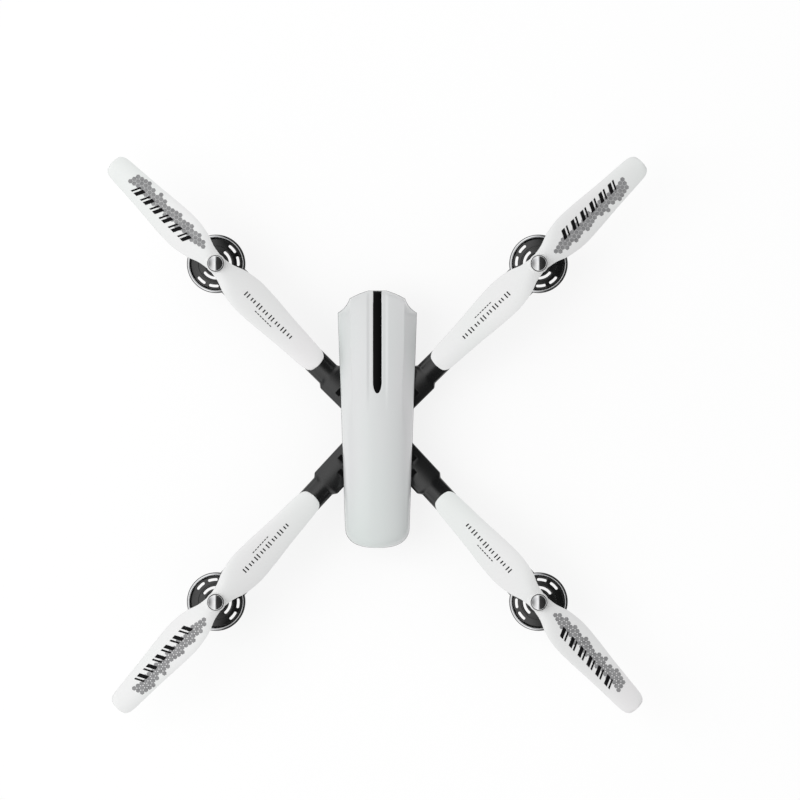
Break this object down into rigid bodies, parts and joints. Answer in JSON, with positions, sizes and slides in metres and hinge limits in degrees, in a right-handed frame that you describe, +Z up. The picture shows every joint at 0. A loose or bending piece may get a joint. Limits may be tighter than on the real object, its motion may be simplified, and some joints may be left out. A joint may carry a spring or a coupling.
{
  "type": "folding camera quadcopter",
  "caption": "Folding quadcopter drone with a slim hull, swing-out arms on pins, two-blade propellers in round pods, a tilting nose camera and a slide-out battery.",
  "frame": {"origin": "on the ground, midway between the motors across, at the middle of the outline's length", "axes": "+Y towards the nose and the camera, +X to the right seen from above with the nose ahead, +Z up"},
  "size_m": [0.3196, 0.3297, 0.061],
  "materials": {
    "white_plastic": "moulded, light satin gloss",
    "black_plastic": "fine texture, satin",
    "gloss_black": "polished piano black",
    "chrome": "bright plated",
    "steel": "turned, satin",
    "rubber": "matt",
    "board_green": "solder-resist lacquer",
    "ceramic": "unglazed ceramic",
    "cell_wrap": "shrink film",
    "lens_glass": "coated optical glass",
    "lamp_red": "translucent moulding",
    "lamp_green": "translucent moulding"
  },
  "bodies": {
    "hull": {"lower_hull": "black_plastic", "hull_spine": "black_plastic", "upper_deck": "black_plastic", "top_shell": "white_plastic", "top_stripe": "gloss_black", "main_board": "board_green", "gps_module": "ceramic", "flow_sensor": "lens_glass", "camera_yoke": "black_plastic", "arm_pin_front_left": "steel", "arm_pin_front_right": "steel", "arm_pin_rear_left": "steel", "arm_pin_rear_right": "steel", "belly_screw_1": "steel", "belly_screw_2": "steel", "belly_screw_3": "steel", "belly_screw_4": "steel"},
    "camera": {"camera_body": "black_plastic", "lens_barrel": "gloss_black", "lens_glass": "lens_glass"},
    "battery": {"battery_pack": "cell_wrap", "battery_cap": "black_plastic"},
    "latch": {"battery_latch": "gloss_black"},
    "power_key": {"power_button": "gloss_black"},
    "arm_front_left": {"arm_front_left": "black_plastic", "pod_ring_front_left": "chrome", "motor_front_left": "steel", "led_lens_front_left": "lamp_red", "leg_front_left": "black_plastic", "foot_pad_front_left": "rubber"},
    "prop_front_left": {"propeller_front_left": "white_plastic", "prop_cap_front_left": "chrome", "motor_shaft_front_left": "steel"},
    "arm_front_right": {"arm_front_right": "black_plastic", "pod_ring_front_right": "chrome", "motor_front_right": "steel", "led_lens_front_right": "lamp_red", "leg_front_right": "black_plastic", "foot_pad_front_right": "rubber"},
    "prop_front_right": {"propeller_front_right": "white_plastic", "prop_cap_front_right": "chrome", "motor_shaft_front_right": "steel"},
    "arm_rear_left": {"arm_rear_left": "black_plastic", "pod_ring_rear_left": "chrome", "motor_rear_left": "steel", "led_lens_rear_left": "lamp_green", "leg_rear_left": "black_plastic", "foot_pad_rear_left": "rubber"},
    "prop_rear_left": {"propeller_rear_left": "white_plastic", "prop_cap_rear_left": "chrome", "motor_shaft_rear_left": "steel"},
    "arm_rear_right": {"arm_rear_right": "black_plastic", "pod_ring_rear_right": "chrome", "motor_rear_right": "steel", "led_lens_rear_right": "lamp_green", "leg_rear_right": "black_plastic", "foot_pad_rear_right": "rubber"},
    "prop_rear_right": {"propeller_rear_right": "white_plastic", "prop_cap_rear_right": "chrome", "motor_shaft_rear_right": "steel"}
  },
  "joints": [
    {"name": "camera_tilt", "type": "hinge", "parent": "hull", "child": "camera", "pos_m": [0, 0.065, 0.0155], "axis": [1, 0, 0], "range_deg": [-90, 25]},
    {"name": "battery_slide", "type": "slide", "parent": "hull", "child": "battery", "axis": [0, -1, 0], "range_m": [0, 0.064]},
    {"name": "latch_press", "type": "slide", "parent": "battery", "child": "latch", "axis": [0, 1, 0], "range_m": [0, 0.0018], "stiffness_N_per_m": 400},
    {"name": "power_press", "type": "slide", "parent": "hull", "child": "power_key", "axis": [0, 1, 0], "range_m": [0, 0.0012], "stiffness_N_per_m": 500},
    {"name": "fold_front_left", "type": "hinge", "parent": "hull", "child": "arm_front_left", "pos_m": [-0.0153, 0.0211, 0.0285], "axis": [0, 0, -1], "range_deg": [0, 43.5]},
    {"name": "spin_front_left", "type": "hinge", "parent": "arm_front_left", "child": "prop_front_left", "pos_m": [-0.096, 0.1006, 0.053], "axis": [0, 0, 1], "continuous": true},
    {"name": "fold_front_right", "type": "hinge", "parent": "hull", "child": "arm_front_right", "pos_m": [0.0153, 0.0211, 0.0285], "axis": [0, 0, 1], "range_deg": [0, 43.5]},
    {"name": "spin_front_right", "type": "hinge", "parent": "arm_front_right", "child": "prop_front_right", "pos_m": [0.096, 0.1006, 0.053], "axis": [0, 0, 1], "continuous": true},
    {"name": "fold_rear_left", "type": "hinge", "parent": "hull", "child": "arm_rear_left", "pos_m": [-0.014, -0.0121, 0.0285], "axis": [0, 0, 1], "range_deg": [0, 40.4]},
    {"name": "spin_rear_left", "type": "hinge", "parent": "arm_rear_left", "child": "prop_rear_left", "pos_m": [-0.096, -0.1006, 0.053], "axis": [0, 0, 1], "continuous": true},
    {"name": "fold_rear_right", "type": "hinge", "parent": "hull", "child": "arm_rear_right", "pos_m": [0.014, -0.0121, 0.0285], "axis": [0, 0, -1], "range_deg": [0, 40.4]},
    {"name": "spin_rear_right", "type": "hinge", "parent": "arm_rear_right", "child": "prop_rear_right", "pos_m": [0.096, -0.1006, 0.053], "axis": [0, 0, 1], "continuous": true}
  ]
}
